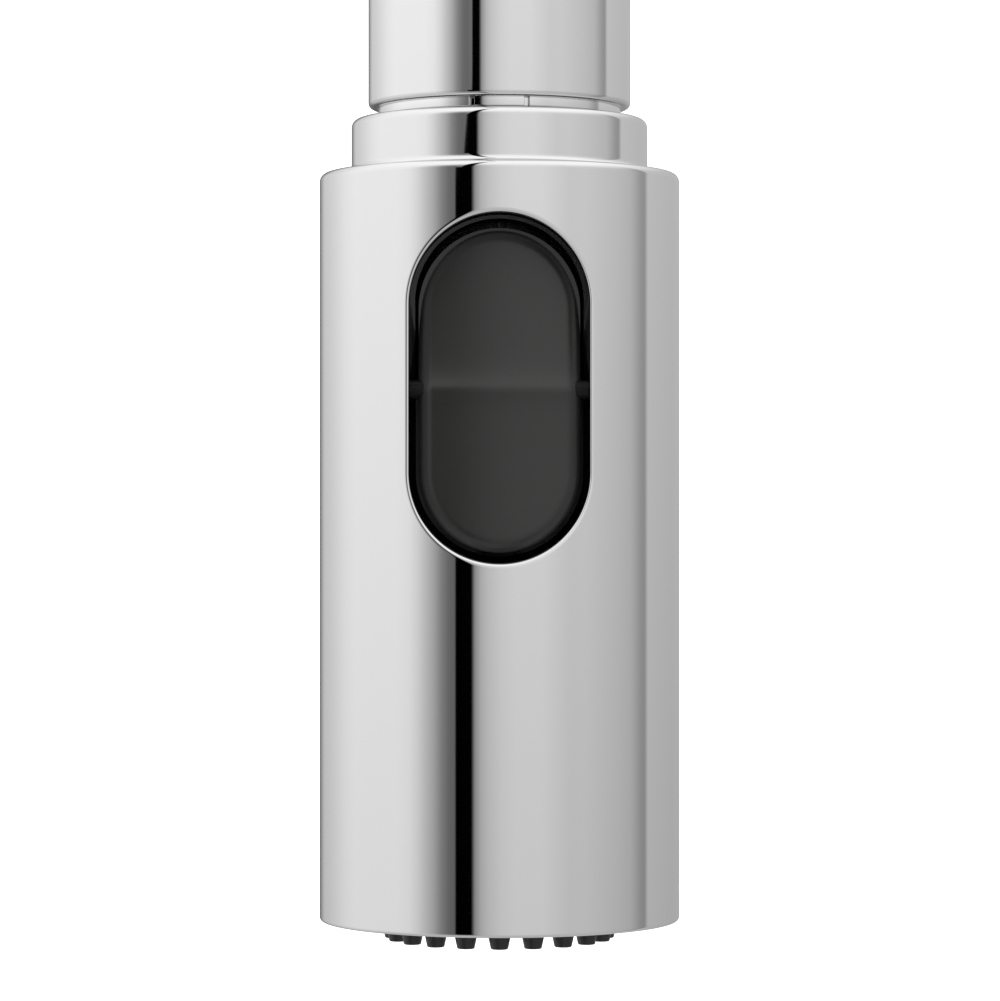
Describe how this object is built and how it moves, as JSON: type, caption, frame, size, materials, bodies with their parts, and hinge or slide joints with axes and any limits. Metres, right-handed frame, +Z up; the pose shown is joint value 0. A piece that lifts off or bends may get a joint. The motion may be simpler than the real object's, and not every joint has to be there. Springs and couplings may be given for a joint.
{
  "type": "pull-down kitchen faucet",
  "caption": "Single-lever kitchen faucet with a swivelling gooseneck spout and a pull-down spray head with a rocker button",
  "frame": {"origin": "centre of the face that rests on the countertop, on the body's axis", "axes": "+Z up, -Y towards the user along the spout at rest, +X towards the lever"},
  "size_m": [0.1055, 0.2625, 0.6177],
  "materials": {
    "chrome": "polished",
    "bright_ring": "satin",
    "brass": "machined",
    "copper": "drawn",
    "steel": "machined",
    "black_steel": "black oxide",
    "zinc_steel": "zinc plated",
    "magnet": "sintered",
    "hose_braid": "braided",
    "gasket_rubber": "matte",
    "washer_rubber": "matte",
    "seal_rubber": "smooth",
    "nozzle_rubber": "matte",
    "rocker_black": "fine texture",
    "core_plastic": "moulded",
    "face_plastic": "moulded",
    "bush_plastic": "moulded",
    "white_plastic": "moulded",
    "ceramic": "lapped alumina"
  },
  "bodies": {
    "base": {"base_gasket": "gasket_rubber", "base_ring": "chrome", "body_shell": "chrome", "body_foot": "brass", "mounting_shank": "brass", "rubber_washer": "washer_rubber", "steel_washer": "zinc_steel", "mounting_nut": "brass", "nut_screws": "steel", "valve_manifold": "brass", "outlet_pipe": "copper", "hose_lower": "hose_braid", "hose_tail_fitting": "brass", "cartridge_base": "white_plastic", "port_seals": "seal_rubber", "fixed_disc": "ceramic", "cartridge_housing": "white_plastic", "cartridge_nut": "brass", "dome_cover": "chrome", "swivel_socket": "brass", "bushing_upper": "bush_plastic", "bushing_lower": "bush_plastic", "body_top_ring": "chrome"},
    "spout": {"spout_tube": "chrome", "spout_adapter": "brass", "swivel_o_rings": "seal_rubber", "snap_ring": "steel", "hose_upper": "hose_braid", "dock_insert": "bush_plastic", "dock_magnet": "magnet", "dock_ring": "bright_ring"},
    "hose_end": {"hose_nipple": "brass", "nipple_o_ring": "seal_rubber", "hose_ferrule": "steel", "hose_drop": "hose_braid"},
    "head": {"head_shell": "chrome", "head_collar": "chrome", "rocker_pin": "black_steel", "head_core": "core_plastic", "check_valve": "white_plastic", "inlet_screen": "steel", "inlet_seal": "seal_rubber", "face_plate": "face_plastic", "nozzle_mat": "nozzle_rubber", "aerator_housing": "face_plastic", "aerator_screens": "white_plastic", "aerator_seal": "seal_rubber", "face_spacer": "core_plastic"},
    "rocker": {"rocker": "rocker_black"},
    "spool": {"diverter_spool": "bush_plastic", "spool_o_rings": "seal_rubber"},
    "mixer": {"stem_carrier": "bush_plastic", "lever_pin": "steel"},
    "lever": {"valve_stem": "steel", "handle_cap": "chrome", "lever_rod": "chrome", "grub_screw": "steel", "screw_plug": "chrome"},
    "disc": {"moving_disc": "ceramic", "disc_slider": "white_plastic"}
  },
  "joints": [
    {"name": "spout_swivel", "type": "hinge", "parent": "base", "child": "spout", "pos_m": [0, 0, 0.165], "axis": [0, 0, 1], "continuous": true},
    {"name": "hose_pull", "type": "slide", "parent": "spout", "child": "hose_end", "axis": [0, 0, -1], "range_m": [0, 0.4], "deforming": ["hose_drop"]},
    {"name": "head_turn", "type": "hinge", "parent": "hose_end", "child": "head", "pos_m": [0, -0.21, 0.325], "axis": [0, 0, 1], "continuous": true},
    {"name": "rocker_press", "type": "hinge", "parent": "head", "child": "rocker", "pos_m": [0, -0.228, 0.29515], "axis": [1, 0, 0], "range_deg": [0, 8]},
    {"name": "spool_shift", "type": "slide", "parent": "head", "child": "spool", "axis": [0, 0, 1], "range_m": [0, 0.0022]},
    {"name": "temperature", "type": "hinge", "parent": "base", "child": "mixer", "pos_m": [0.05, 0, 0.095], "axis": [1, 0, 0], "range_deg": [-45, 45]},
    {"name": "lever_lift", "type": "hinge", "parent": "mixer", "child": "lever", "pos_m": [0.05, 0, 0.095], "axis": [0, 1, 0], "range_deg": [0, 20]},
    {"name": "disc_shift", "type": "slide", "parent": "mixer", "child": "disc", "axis": [0, 0, 1], "range_m": [0, 0.0056]}
  ],
  "couplings": [
    {"joint": "spool_shift", "follows": "rocker_press", "m_per_rad": 0.0156},
    {"joint": "disc_shift", "follows": "lever_lift", "m_per_rad": 0.015}
  ]
}
